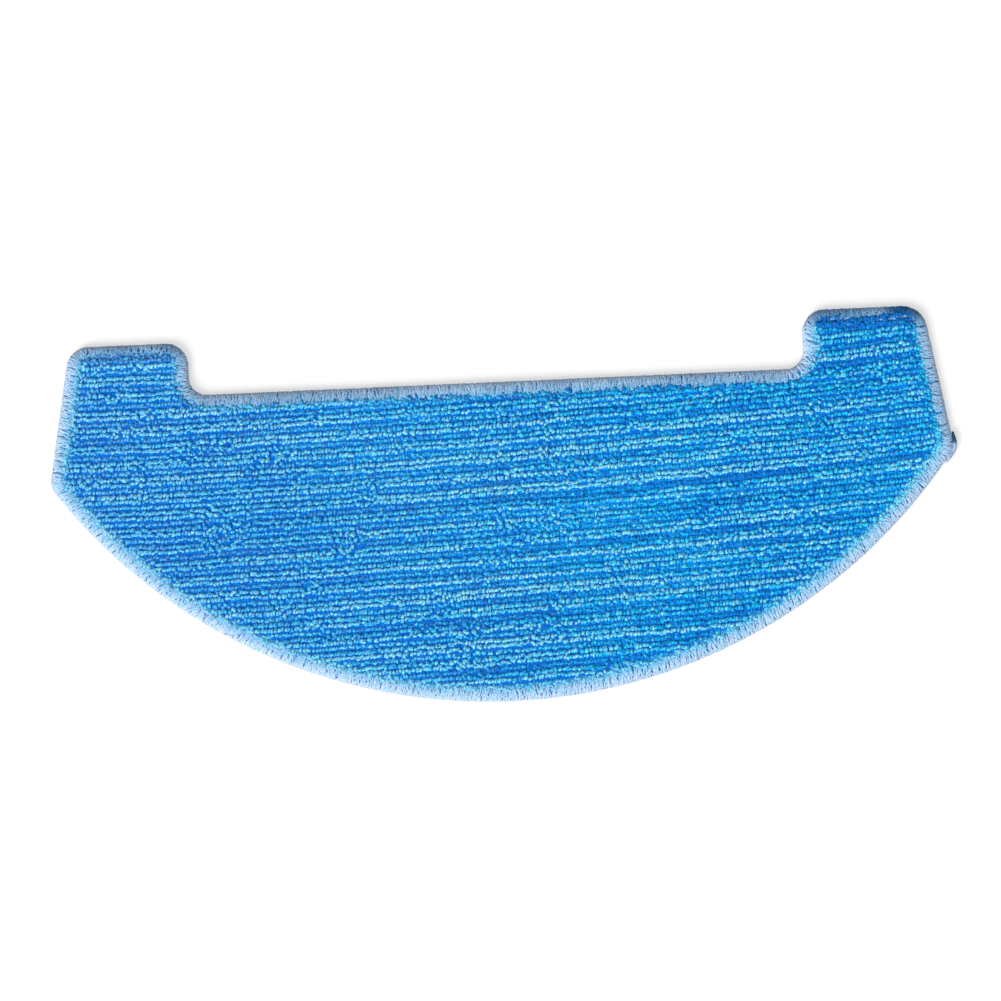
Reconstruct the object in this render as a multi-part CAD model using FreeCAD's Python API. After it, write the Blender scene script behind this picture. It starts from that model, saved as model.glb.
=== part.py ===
import FreeCAD, Part
import math
import os

# The mop cloth of a robot vacuum, lying flat on its backing with the wiping side up, in millimetres.
# A looped microfibre terry cloth and a brushed loop backing are cut to one outline and joined by an overlock
# seam of three threads all round. The front edge is one arc that follows the round robot. The rear edge is
# straight, with an ear at each end, and the bay between the ears clears what the mop plate holds there.
# X runs along the rear edge, Y from the front edge to the rear edge, and Z up, from the backing to the loops.
# The origin is on the resting face, at the middle of the outline's box.

# Outline, measured over the edging thread
pad_width = 280.9  # across the two side corners, before they are rounded
front_bow = 72.7  # from the side corners forward to the middle of the front arc
shoulder_depth = 26.5  # from the side corners back to the rear edge
left_ear_rise = 16.3  # the two ears were cut and sewn by hand, and the right one is a little longer
right_ear_rise = 17.8
bay_width = 190.6  # between the ears
bay_shift = -0.55  # the bay was cut a little to the left of the middle
flank_lean = 10.3  # degrees by which the short sides close in towards the ears
side_corner_radius = 6.0
left_ear_radius = 7.0  # outer corners of the ears
right_ear_radius = 8.0
ear_inner_radius = 7.0
bay_fillet_radius = 5.5

# Cloths
backing_thickness = 1.0
ground_thickness = 0.8  # knitted ground of the terry cloth, below its loops
pile_height = 1.9  # loops above that ground
row_pitch = 1.75
row_relief = 0.9  # depth of the furrow between two rows of loops
row_crest = 0.7  # width on top of a row, where the loops turn over
rows_in_repeat = 3  # the last row of each repeat is knitted with shorter loops
low_row_drop = 0.4  # how much lower that row stands
row_skew = 2.4  # degrees between the rows and the rear edge, as the cloth was cut

# Overlock seam
seam_width = 4.4  # from the rim to the needle line
stitch_pitch = 3.0
wrap_thickness = 0.35  # looper thread between two stitches
stitch_relief = 0.3  # how far a stitch stands above that
wrap_round = 0.7  # width over which a looper turns down at the rim
rim_wrap = 0.85  # thread outside the cloths' cut edge
needle_thread_width = 0.6
needle_thread_height = 0.5
thread_gap = 0.08  # between two threads laid side by side, and round the cut edge
pile_gap = 0.1  # between the needle thread and the first loops
least_turn = 0.5  # tightest inside radius that the seam is sewn round

# Chain end left where the seam starts and stops, laid round the right side corner
tail_length = 9.0
tail_width = 0.9  # outwards from the rim
tail_height = 1.4
tail_taper = 0.35  # its tips, as a share of that width and height
tail_sides = 8

needle_line = seam_width + thread_gap
seam_reach = needle_line + needle_thread_width
pile_inset = seam_reach + pile_gap
cut_inset = rim_wrap + thread_gap
stitch_height = wrap_thickness + stitch_relief

half_width = pad_width / 2
overall_depth = front_bow + shoulder_depth + max(left_ear_rise, right_ear_rise)
front_y = -overall_depth / 2
corner_y = front_y + front_bow
rear_y = corner_y + shoulder_depth

backing_hem_z = stitch_height  # the hem is squeezed, so that the seam lies flush with the backing
backing_top_z = backing_thickness
ground_top_z = backing_top_z + ground_thickness
furrow_z = ground_top_z + pile_height - row_relief
pile_top_z = ground_top_z + pile_height
rim_z = (backing_hem_z + ground_top_z) / 2

join_tolerance = 0.001  # facets closer than this share an edge
UP = FreeCAD.Vector(0, 0, 1)


def at(x, y, z=0.0):
    return FreeCAD.Vector(x, y, z)


def raised(wire, low, high):
    """The inside of a flat wire at height 0 as a solid between two heights."""
    face = Part.Face(wire)
    face.translate(UP * low)
    return face.extrude(UP * (high - low))


def sewable(radius):
    """An outside corner is never rounder inside than the seam can follow."""
    return max(radius, seam_reach + least_turn)


def flank_x(y):
    """Half the width over the short sides at a depth."""
    return half_width - (y - corner_y) * math.tan(math.radians(flank_lean))


def pad_outline():
    """The sewn outline, over the thread, as one closed wire at height 0."""
    bay_left = bay_shift - bay_width / 2
    bay_right = bay_shift + bay_width / 2
    left_top = rear_y + left_ear_rise
    right_top = rear_y + right_ear_rise
    corners = [
        (at(half_width, corner_y), sewable(side_corner_radius)),
        (at(flank_x(right_top), right_top), sewable(right_ear_radius)),
        (at(bay_right, right_top), sewable(ear_inner_radius)),
        (at(bay_right, rear_y), bay_fillet_radius),
        (at(bay_left, rear_y), bay_fillet_radius),
        (at(bay_left, left_top), sewable(ear_inner_radius)),
        (at(-flank_x(left_top), left_top), sewable(left_ear_radius)),
        (at(-half_width, corner_y), sewable(side_corner_radius)),
    ]
    points = [point for point, radius in corners]
    sides = [Part.LineSegment(a, b).toShape() for a, b in zip(points, points[1:])]
    front = Part.Arc(points[-1], at(0, front_y), points[0]).toShape()
    block = raised(Part.Wire(sides + [front]), 0, 1)
    for point, radius in corners:
        upright = [
            e for e in block.Edges
            if e.BoundBox.ZLength > 0.5 and e.distToShape(Part.Vertex(point))[0] < 1e-6
        ]
        block = block.makeFillet(radius, upright)
    base = min(block.Faces, key=lambda face: face.CenterOfMass.z)
    return base.OuterWire


def inset(wire, distance):
    """The outline, moved in from the rim."""
    return wire.makeOffset2D(-distance)


def seam_stations(wire):
    """Points along the rim, two to a stitch, counter-clockwise, each with its direction into the cloth."""
    count = 2 * round(wire.Length / stitch_pitch)
    points = wire.discretize(Number=count + 1)[:-1]
    area = sum(a.x * b.y - b.x * a.y for a, b in zip(points, points[1:] + points[:1]))
    if area < 0:
        points.reverse()
    stations = []
    for i, point in enumerate(points):
        along = (points[(i + 1) % count] - points[i - 1]).normalize()
        stations.append((point, UP.cross(along)))
    return stations


def place(stations, i, inward, z):
    """A point of the seam at a station, moved in from the rim and up."""
    point, normal = stations[i % len(stations)]
    return point + normal * inward + UP * z


def sewn(stations, section):
    """A band of flat facets round the whole rim. section(i) gives its corners at station i."""
    rings = [section(i) for i in range(len(stations))]
    sides = len(rings[0])
    facets = []
    for i in range(len(rings)):
        near = i * sides
        far = (i + 1) % len(rings) * sides
        for k in range(sides):
            turn = (k + 1) % sides
            facets.append((near + k, near + turn, far + turn))
            facets.append((near + k, far + turn, far + k))
    band = Part.Shape()
    band.makeShapeFromMesh(([corner for ring in rings for corner in ring], facets), join_tolerance)
    solid = Part.Solid(band)
    if solid.Volume < 0:
        solid.reverse()
    return solid.removeSplitter()


def looper_thread(stations, seat_z, side):
    """The looper thread on one side of the hem, from the needle line to the middle of the rim.

    Even stations lie on a stitch and odd ones between two. The stitches slant: a stitch meets the
    needle line one station further on than the rim. Between two stitches the thread is drawn in at
    the rim by the share that it loses in height, which keeps the facets flat.
    """
    crest_z = seat_z + side * stitch_height
    valley_z = seat_z + side * wrap_thickness
    drawn_in = wrap_round * (crest_z - valley_z) / (crest_z - rim_z)

    def section(i):
        between = i % 2
        outer_z = valley_z if between else crest_z
        return [
            place(stations, i + 1, seam_width, seat_z),
            place(stations, i + 1, seam_width, outer_z),
            place(stations, i, wrap_round, outer_z),
            place(stations, i, drawn_in if between else 0.0, rim_z),
            place(stations, i, rim_wrap, seat_z),
        ]

    return sewn(stations, section)


def needle_thread(outline):
    """The needle's thread, a raised line on the wiping side that holds the loopers' inner ends."""
    top_z = ground_top_z + needle_thread_height
    inside = raised(inset(outline, seam_reach), ground_top_z, top_z)
    return raised(inset(outline, needle_line), ground_top_z, top_z).cut(inside)


def backing_cloth(outline):
    """The brushed loop cloth that grips the mop plate, squeezed thinner under the seam."""
    hem = raised(inset(outline, cut_inset), backing_hem_z, backing_top_z)
    field = raised(inset(outline, seam_reach), 0, backing_top_z)
    return hem.fuse(field).removeSplitter()


def loop_rows(outline):
    """The rows of loops: one toothed profile, run along the skewed rows and trimmed to end at the seam."""
    slope = (row_pitch - row_crest) / 2
    reach = math.hypot(pad_width, overall_depth) / 2
    count = math.ceil(reach / row_pitch)
    profile = []
    for k in range(-count, count):
        v = k * row_pitch
        crest_z = pile_top_z
        if k % rows_in_repeat == rows_in_repeat - 1:
            crest_z -= low_row_drop
        profile += [(v, furrow_z), (v + slope, crest_z), (v + slope + row_crest, crest_z)]
    profile += [(count * row_pitch, backing_top_z), (-count * row_pitch, backing_top_z)]
    corners = [at(-reach, v, z) for v, z in profile]
    rows = Part.Face(Part.makePolygon(corners + corners[:1])).extrude(at(2 * reach, 0))
    rows.rotate(at(0, 0), UP, row_skew)
    return rows.common(raised(inset(outline, pile_inset), backing_top_z, pile_top_z))


def wiping_cloth(outline):
    """The looped microfibre terry cloth: its knitted ground, which runs out under the seam, and its loops."""
    ground = raised(inset(outline, cut_inset), backing_top_z, ground_top_z)
    return ground.fuse(loop_rows(outline)).removeSplitter()


def thread_tail(stations):
    """The end of the stitch chain, laid round the outside of the right side corner, thinner at its tips."""
    corner = at(half_width, corner_y)
    middle = min(range(len(stations)), key=lambda i: stations[i][0].distanceToPoint(corner))
    spacing = stations[0][0].distanceToPoint(stations[1][0])
    reach = max(1, round(tail_length / 2 / spacing))
    sections = []
    for k in range(-reach, reach + 1):
        fullness = 1 - (1 - tail_taper) * (k / reach) ** 2
        half_wide = fullness * tail_width / 2
        half_high = fullness * tail_height / 2
        section = []
        for side in range(tail_sides):
            turn = 2 * math.pi * side / tail_sides
            outward = thread_gap + half_wide * (1 + math.cos(turn))
            section.append(place(stations, middle + k, -outward, rim_z + half_high * math.sin(turn)))
        sections.append(Part.makePolygon(section + section[:1]))
    return Part.makeLoft(sections, True, True)


def build():
    outline = pad_outline()
    stations = seam_stations(outline)
    parts = {
        "wiping_cloth": wiping_cloth(outline),
        "backing_cloth": backing_cloth(outline),
        "upper_looper_thread": looper_thread(stations, ground_top_z, 1),
        "lower_looper_thread": looper_thread(stations, backing_hem_z, -1),
        "needle_thread": needle_thread(outline),
        "thread_tail": thread_tail(stations),
    }
    os.makedirs("parts", exist_ok=True)
    for name, shape in parts.items():
        shape.exportStep(os.path.join("parts", name + ".step"))
        print(f"{name}: {len(shape.Solids)} solid, {shape.Volume:.1f} mm3, valid {shape.isValid()}")


build()
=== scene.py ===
"""A robot vacuum's looped microfibre mop pad, lying on its backing, with its photo studio.

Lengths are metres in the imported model's frame: X along the straight rear edge, Y from the round front edge
to the ears, Z up from the backing to the loops. Every yarn is real geometry down to the single loop and the
single strand of the overlock seam. Knit, fibre and nap finer than that are in the materials.
"""

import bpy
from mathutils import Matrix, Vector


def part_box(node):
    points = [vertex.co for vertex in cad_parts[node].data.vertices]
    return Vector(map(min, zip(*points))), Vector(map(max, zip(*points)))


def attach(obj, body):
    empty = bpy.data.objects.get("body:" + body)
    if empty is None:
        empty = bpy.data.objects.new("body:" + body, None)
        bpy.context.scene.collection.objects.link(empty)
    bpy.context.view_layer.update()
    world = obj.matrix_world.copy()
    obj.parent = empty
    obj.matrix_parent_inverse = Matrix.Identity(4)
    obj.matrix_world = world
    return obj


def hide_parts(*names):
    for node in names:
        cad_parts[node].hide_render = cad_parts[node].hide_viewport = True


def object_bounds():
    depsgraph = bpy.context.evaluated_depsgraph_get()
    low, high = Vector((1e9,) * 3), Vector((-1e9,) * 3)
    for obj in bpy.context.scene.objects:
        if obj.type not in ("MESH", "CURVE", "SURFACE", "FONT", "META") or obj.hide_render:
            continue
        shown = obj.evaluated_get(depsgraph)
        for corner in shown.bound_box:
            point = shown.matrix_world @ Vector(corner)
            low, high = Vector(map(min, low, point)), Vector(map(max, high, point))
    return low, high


bl_info = {
    "name": "Looped Mop Pad",
    "version": (1, 0, 0),
    "blender": (4, 5, 0),
    "location": "View3D > Sidebar > Mop Pad",
    "description": "Makes a looped microfibre mop pad with an overlocked rim, and a studio to show it in",
    "category": "Add Mesh",
}

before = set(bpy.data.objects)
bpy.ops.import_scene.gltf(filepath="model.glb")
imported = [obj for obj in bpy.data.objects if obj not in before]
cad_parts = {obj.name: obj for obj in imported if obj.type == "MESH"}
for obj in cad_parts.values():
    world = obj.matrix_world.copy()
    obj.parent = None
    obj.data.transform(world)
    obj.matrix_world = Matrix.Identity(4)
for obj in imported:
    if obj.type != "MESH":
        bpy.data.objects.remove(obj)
cad_low, cad_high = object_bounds()

import math

import bmesh
import bpy
import numpy as np
from bpy.props import FloatProperty, FloatVectorProperty, IntProperty, PointerProperty
from mathutils import Vector

MM = 0.001
backing_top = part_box("backing_cloth")[1].z
pile_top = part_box("wiping_cloth")[1].z
rim_height, seam_top = (corner.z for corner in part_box("upper_looper_thread"))
ground_top, needle_top = (corner.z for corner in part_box("needle_thread"))
hem_height = 2 * rim_height - ground_top  # the two loopers meet half way up the squeezed hem

# Widths over which the squeezed hem passes into the free cloth
HEM_BLEND = 0.9 * MM
HEM_STEP = 0.4 * MM
EDGE_STEP = 1.5 * MM  # between two points of a cloth's cut edge

# Shares of the rows' fan that grow evenly from the middle and more and more towards the sides
FAN_EVEN, FAN_OUTER = 0.35, 0.65

# Rows of the knit's repeat: two painted paler, as lit, then one with shorter loops painted deeper, as shaded
FRONT_ROW, REAR_ROW, LOW_ROW = 0, 1, 2
CAUGHT_ROW = 300  # beyond the pile's own rows, so that loops caught by the seam draw their own tones

YARN_OFFSET = 13.7 * MM  # between the starts of two yarns in the fibre pattern, so that none look alike
FOOT_DEPTH = 0.35 * MM  # how deep a loop's feet stand in the pile bed
SEAM_FADE = 2.4 * MM  # width of the pile that the seam presses down
PILE_PULL = 1.7 * MM  # how far the seam draws the pile outwards over the ears' rear edges
LEAST_GAP = 0.55 * MM  # between the knitted rows and a loop caught by the seam


def shade(red, green, blue):
    """A colour as it is seen, from 0 to 255 a channel, as the linear values that Blender works in."""
    seen = (channel / 255 for channel in (red, green, blue))
    return tuple(((c + 0.055) / 1.055) ** 2.4 if c > 0.04 else c / 12.92 for c in seen)


class PadOutline(bpy.types.PropertyGroup):
    """The sewn outline, measured over the edging thread."""

    width: FloatProperty(
        name="Width", description="Across the two side corners, before they are rounded",
        default=0.2809, unit="LENGTH")
    front_bow: FloatProperty(
        name="Front bow", description="From the side corners forward to the middle of the front arc",
        default=0.0727, unit="LENGTH")
    shoulder: FloatProperty(
        name="Shoulder", description="From the side corners back to the rear edge",
        default=0.0265, unit="LENGTH")
    left_ear: FloatProperty(
        name="Left ear", description="How far the left ear rises behind the rear edge",
        default=0.0163, unit="LENGTH")
    right_ear: FloatProperty(
        name="Right ear", description="How far the right ear rises behind the rear edge",
        default=0.0178, unit="LENGTH")
    bay: FloatProperty(name="Bay", description="Between the two ears", default=0.1906, unit="LENGTH")
    bay_shift: FloatProperty(
        name="Bay shift", description="From the pad's middle to the middle of the bay, negative to the left",
        default=-0.00055, unit="LENGTH")
    flank_lean: FloatProperty(
        name="Flank lean", description="Angle by which the short sides close in towards the ears",
        default=math.radians(10.3), subtype="ANGLE")
    side_corner: FloatProperty(
        name="Side corner", description="Radius of the two side corners", default=0.006, unit="LENGTH")
    left_ear_corner: FloatProperty(
        name="Left ear corner", description="Radius of the left ear's outer corner",
        default=0.007, unit="LENGTH")
    right_ear_corner: FloatProperty(
        name="Right ear corner", description="Radius of the right ear's outer corner",
        default=0.008, unit="LENGTH")
    ear_inner_corner: FloatProperty(
        name="Ear inner corner", description="Radius where an ear turns down into the bay",
        default=0.0070, unit="LENGTH")
    bay_fillet: FloatProperty(
        name="Bay fillet", description="Radius at the foot of an ear", default=0.0055, unit="LENGTH")


class ClothSizes(bpy.types.PropertyGroup):
    """The two cloths under the loops and the seam."""

    cut_inset: FloatProperty(
        name="Cut edge", description="From the rim in to the cloths' cut edge", default=0.00093, unit="LENGTH")
    hem: FloatProperty(
        name="Hem", description="From the rim in to where the backing is no longer squeezed by the seam",
        default=0.00508, unit="LENGTH")
    hem_puff: FloatProperty(
        name="Hem puff", description="How far the strands draw the squeezed hem up into a roll",
        default=0.00075, unit="LENGTH")
    pile_bed: FloatProperty(
        name="Pile bed", description="Packed feet of the loops above the knitted ground", default=0.00095,
        unit="LENGTH")
    cell: FloatProperty(
        name="Cell", description="Spacing of the points that let the cloth lie in soft waves",
        default=0.005, unit="LENGTH")
    wave_height: FloatProperty(
        name="Wave height", description="How far the cloth's soft waves lift it off the floor",
        default=0.0005, unit="LENGTH")
    wave_length: FloatProperty(
        name="Wave length", description="Distance between the cloth's soft waves", default=0.045, unit="LENGTH")


class PileSizes(bpy.types.PropertyGroup):
    """The rows of yarn loops on the wiping side."""

    inset: FloatProperty(
        name="Inset", description="From the rim in to the first loops", default=0.0044, unit="LENGTH")
    row_pitch: FloatProperty(
        name="Row pitch", description="Between two rows of loops", default=0.00175, unit="LENGTH")
    loop_pitch: FloatProperty(
        name="Loop pitch", description="Between two loops of a row", default=0.00104, unit="LENGTH")
    row_skew: FloatProperty(
        name="Row skew", description="Angle of the rows to the rear edge at the middle of the pad",
        default=math.radians(2.4), subtype="ANGLE")
    row_fan: FloatProperty(
        name="Row fan", description="Angle by which the rows turn further from the middle to a side",
        default=math.radians(3.8), subtype="ANGLE")
    row_wander: FloatProperty(
        name="Row wander", description="How far the rows stray from their line", default=0.00022, unit="LENGTH")
    yarn_radius: FloatProperty(
        name="Yarn radius", description="Half the thickness of the pile yarn", default=0.00056, unit="LENGTH")
    loop_width: FloatProperty(
        name="Loop width", description="Between the two legs of a loop", default=0.00098, unit="LENGTH")
    low_row_drop: FloatProperty(
        name="Low row drop", description="How much lower the loops of every third row stand",
        default=0.0004, unit="LENGTH")
    loop_turn: FloatProperty(
        name="Loop turn", description="Angle of a loop's plane to its row", default=math.radians(46),
        subtype="ANGLE")
    disorder: FloatProperty(
        name="Disorder", description="Share of the pile where the loops are turned out of their row",
        default=0.4, min=0, max=1, subtype="FACTOR")
    bands: IntProperty(
        name="Bands", description="Pieces that the pile is divided into, from front to rear", default=4, min=4)
    seed: IntProperty(name="Seed", description="Choice of the loops' irregularities", default=11)


class SeamSizes(bpy.types.PropertyGroup):
    """The overlock seam."""

    width: FloatProperty(
        name="Width", description="From the rim to the needle line", default=0.0044, unit="LENGTH")
    stitch_pitch: FloatProperty(
        name="Stitch pitch", description="Between two needle holes", default=0.0030, unit="LENGTH")
    strands: IntProperty(
        name="Strands", description="Strands of looper thread that cross the hem above in one stitch",
        default=9, min=1)
    lower_strands: IntProperty(
        name="Lower strands", description="Strands that cross the hem below in one stitch", default=5, min=1)
    strand_radius: FloatProperty(
        name="Strand radius", description="Half the thickness of one strand", default=0.00034, unit="LENGTH")
    crest: FloatProperty(
        name="Crest", description="From the rim in to the top of the rounded seam", default=0.0030,
        unit="LENGTH")
    crest_rise: FloatProperty(
        name="Crest rise", description="How far the seam's crest stands above the middle of the rim",
        default=0.0015, unit="LENGTH")
    needle_radius: FloatProperty(
        name="Needle thread radius", description="Half the thickness of the needle thread",
        default=0.00022, unit="LENGTH")
    seed: IntProperty(name="Seed", description="Choice of the strands' irregularities", default=5)


class PadColours(bpy.types.PropertyGroup):
    """Colours of the yarns and cloths."""

    pile_deep: FloatVectorProperty(
        name="Deep pile", description="Darkest yarn of the loops", subtype="COLOR", min=0, max=1,
        default=shade(0, 130, 214))
    pile_blue: FloatVectorProperty(
        name="Blue pile", description="Most of the loops", subtype="COLOR", min=0, max=1,
        default=shade(24, 211, 255))
    pile_pale: FloatVectorProperty(
        name="Pale pile", description="Palest yarn of the loops", subtype="COLOR", min=0, max=1,
        default=shade(150, 237, 255))
    # Painted light: the lamp's lavender sheen on the loops towards the left side and on the seam edges that
    # face it.
    pile_painted_light: FloatVectorProperty(
        name="Lavender pile", description="Cast of the loops towards the left side", subtype="COLOR",
        min=0, max=1, default=shade(140, 208, 255))
    ground: FloatVectorProperty(
        name="Ground", description="Knitted ground under the loops", subtype="COLOR", min=0, max=1,
        default=shade(0, 164, 250))
    backing: FloatVectorProperty(
        name="Backing", description="Brushed loop knit behind", subtype="COLOR", min=0, max=1,
        default=shade(162, 195, 223))
    hem: FloatVectorProperty(
        name="Hem", description="Squeezed hem that shows between the strands of the seam", subtype="COLOR",
        min=0, max=1, default=shade(150, 212, 252))
    thread_pale: FloatVectorProperty(
        name="Pale thread", description="Edging thread over the middle of the seam", subtype="COLOR",
        min=0, max=1, default=shade(190, 224, 253))
    # Its blue at the needle line is painted light reflected from the pile.
    thread_blue: FloatVectorProperty(
        name="Blue thread", description="Edging thread at the needle line, where the pile's fluff mixes in",
        subtype="COLOR", min=0, max=1, default=shade(140, 214, 255))
    # Painted shade of the edging thread, cast over the ears' rear edges where the seam is pulled tight, over
    # the rims that face away from the lamp, and in part over the tail's plies.
    thread_shade: FloatVectorProperty(
        name="Tight thread", description="Edging thread where the seam is pulled tight over the ears",
        subtype="COLOR", min=0, max=1, default=shade(8, 98, 158))
    # Painted shadow at the upper end of the thread tail, where it tucks against the border.
    tail_shadow: FloatVectorProperty(
        name="Dark tail", description="Knot at the upper end of the thread tail", subtype="COLOR",
        min=0, max=1, default=shade(24, 84, 112))
    thread_rim: FloatVectorProperty(
        name="Rim thread", description="Edging thread at the rim", subtype="COLOR", min=0, max=1,
        default=shade(222, 230, 252))


class StudioSettings(bpy.types.PropertyGroup):
    """Camera, light and floor."""

    view_width: FloatProperty(
        name="View width", description="Width of what the camera sees at the pad",
        default=0.3103, unit="LENGTH")
    aim_x: FloatProperty(
        name="Aim along X", description="Where the camera's middle falls on the pad", default=-0.00103,
        unit="LENGTH")
    aim_y: FloatProperty(
        name="Aim along Y", description="Where the camera's middle falls on the pad", default=0.00386,
        unit="LENGTH")
    roll: FloatProperty(
        name="Roll", description="Turn of the camera about its line of sight", default=math.radians(-2.545),
        subtype="ANGLE")
    lens: FloatProperty(name="Lens", description="Focal length", default=150, unit="CAMERA")
    key_strength: FloatProperty(
        name="Key strength", description="Light of the soft lamp at the lower left", default=3.0, min=0)
    key_height: FloatProperty(
        name="Key height", description="Angle of the soft lamp above the floor", default=math.radians(38),
        subtype="ANGLE")
    key_bearing: FloatProperty(
        name="Key bearing", description="Direction that the soft lamp stands in, from +X", subtype="ANGLE",
        default=math.radians(228))
    key_softness: FloatProperty(
        name="Key softness", description="Angle that the soft lamp takes up as seen from the pad",
        subtype="ANGLE", default=math.radians(40))
    sky_strength: FloatProperty(
        name="Sky strength", description="Even light from all round", default=0.52, min=0)
    floor_size: FloatProperty(name="Floor size", description="Side of the floor", default=6, unit="LENGTH")
    floor_white: FloatProperty(
        name="Floor white", description="How pale the floor is", default=0.5, min=0, max=1, subtype="FACTOR")
    floor_glow: FloatProperty(
        name="Floor glow", description="Light that the floor adds where the camera sees it",
        default=0.52, min=0)


class MopPad(bpy.types.PropertyGroup):
    """All settings of the pad."""

    outline: PointerProperty(type=PadOutline, name="Outline", description="The sewn outline")
    cloth: PointerProperty(type=ClothSizes, name="Cloth", description="The two cloths")
    pile: PointerProperty(type=PileSizes, name="Pile", description="The loops")
    seam: PointerProperty(type=SeamSizes, name="Seam", description="The overlock seam")
    colours: PointerProperty(type=PadColours, name="Colours", description="Colours of the yarns and cloths")
    studio: PointerProperty(type=StudioSettings, name="Studio", description="Camera, light and floor")


def unit(vector):
    return vector / np.linalg.norm(vector)


def turned_left(vectors):
    return np.stack([-vectors[..., 1], vectors[..., 0]], axis=-1)


class Rim:
    """The sewn outline as lines and arcs, walked counter-clockwise by length along it."""

    def __init__(self, outline):
        half_width = outline.width / 2
        depth = outline.front_bow + outline.shoulder + max(outline.left_ear, outline.right_ear)
        front_y = -depth / 2
        corner_y = front_y + outline.front_bow
        rear_y = corner_y + outline.shoulder
        right_top, left_top = rear_y + outline.right_ear, rear_y + outline.left_ear
        lean = math.tan(outline.flank_lean)
        right_x = half_width - (right_top - corner_y) * lean
        left_x = half_width - (left_top - corner_y) * lean
        self.front_radius = (half_width ** 2 + outline.front_bow ** 2) / (2 * outline.front_bow)
        self.front_centre = np.array([0.0, front_y + self.front_radius])
        bay_left, bay_right = outline.bay_shift - outline.bay / 2, outline.bay_shift + outline.bay / 2
        points = [np.array(p) for p in (
            (half_width, corner_y), (right_x, right_top), (bay_right, right_top), (bay_right, rear_y),
            (bay_left, rear_y), (bay_left, left_top), (-left_x, left_top), (-half_width, corner_y))]
        radii = [
            outline.right_ear_corner, outline.ear_inner_corner, outline.bay_fillet,
            outline.bay_fillet, outline.ear_inner_corner, outline.left_ear_corner]
        self.parts = []
        right_corner = self.side_corner(points[0], points[1], outline.side_corner)
        left_corner = self.side_corner(points[-1], points[-2], outline.side_corner)
        start = right_corner["on_flank"]
        for before, point, after, radius in zip(points, points[1:-1], points[2:], radii):
            into, out = unit(point - before), unit(after - point)
            turn = math.atan2(into[0] * out[1] - into[1] * out[0], into @ out)
            reach = radius * math.tan(abs(turn) / 2)
            self.add_line(start, point - into * reach)
            centre = point - into * reach + turned_left(into) * radius * math.copysign(1, turn)
            self.add_arc(centre, point - into * reach, turn)
            start = point + out * reach
        self.add_line(start, left_corner["on_flank"])
        self.add_arc_between(left_corner["centre"], left_corner["on_flank"], left_corner["on_front"])
        self.add_arc_between(self.front_centre, left_corner["on_front"], right_corner["on_front"])
        self.add_arc_between(right_corner["centre"], right_corner["on_front"], right_corner["on_flank"])
        self.ends = np.cumsum([part["length"] for part in self.parts])
        self.length = self.ends[-1]

    def side_corner(self, corner, ear, radius):
        """The rounding where a short side meets the front arc."""
        along = unit(ear - corner)
        inward = turned_left(along) * math.copysign(1, corner[0])
        offset = corner + inward * radius - self.front_centre
        half = offset @ along
        reach = self.front_radius - radius
        root = math.sqrt(half ** 2 - offset @ offset + reach ** 2)
        step = min(-half + root, -half - root, key=abs)
        centre = corner + inward * radius + along * step
        on_front = self.front_centre + unit(centre - self.front_centre) * self.front_radius
        return {"centre": centre, "on_flank": centre - inward * radius, "on_front": on_front}

    def add_line(self, start, end):
        along = unit(end - start)
        self.parts.append({"start": start, "along": along, "length": np.linalg.norm(end - start)})

    def add_arc(self, centre, start, turn):
        spoke = start - centre
        radius = np.linalg.norm(spoke)
        self.parts.append({
            "centre": centre, "radius": radius, "angle": math.atan2(spoke[1], spoke[0]),
            "side": math.copysign(1, turn), "length": abs(turn) * radius})

    def add_arc_between(self, centre, start, end):
        first, last = start - centre, end - centre
        turn = math.atan2(first[0] * last[1] - first[1] * last[0], first @ last)
        self.add_arc(centre, start, turn)

    def walk(self, distance, inset=0.0):
        """Points at these lengths along the rim, moved in by inset, and their directions into the cloth."""
        distance = np.asarray(distance, float) % self.length
        points, inward = np.zeros(distance.shape + (2,)), np.zeros(distance.shape + (2,))
        which = np.minimum(np.searchsorted(self.ends, distance, side="right"), len(self.parts) - 1)
        for i, part in enumerate(self.parts):
            here = which == i
            run = distance[here] - (self.ends[i] - part["length"])
            if "along" in part:
                points[here] = part["start"] + run[:, None] * part["along"]
                inward[here] = turned_left(part["along"])
            else:
                angle = part["angle"] + part["side"] * run / part["radius"]
                spoke = np.stack([np.cos(angle), np.sin(angle)], axis=-1)
                points[here] = part["centre"] + spoke * part["radius"]
                inward[here] = -part["side"] * spoke
        return points + inward * np.asarray(inset)[..., None], inward

    def depth(self, points):
        """How far inside the rim points lie, negative outside, with the direction into the cloth there."""
        rim_points, inward = self.walk(np.arange(0, self.length, 0.5 * MM))
        depths, directions = [], []
        for block in np.array_split(points, max(1, len(points) // 2000)):
            apart = block[:, None] - rim_points[None]
            nearest = (apart ** 2).sum(-1).argmin(1)
            offset = block - rim_points[nearest]
            depths.append((offset * inward[nearest]).sum(-1))
            directions.append(inward[nearest])
        return np.concatenate(depths), np.concatenate(directions)


def drift(x, y, seed):
    """Smooth random values from -1 to 1, with features about one unit apart."""
    table = np.random.default_rng(seed).uniform(-1, 1, (64, 64))
    column, row = np.floor(x).astype(int), np.floor(y).astype(int)
    across, up = x - column, y - row
    across, up = across * across * (3 - 2 * across), up * up * (3 - 2 * up)

    def knot(right, above):
        return table[(column + right) % 64, (row + above) % 64]

    lower = knot(0, 0) * (1 - across) + knot(1, 0) * across
    upper = knot(0, 1) * (1 - across) + knot(1, 1) * across
    return lower * (1 - up) + upper * up


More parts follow.
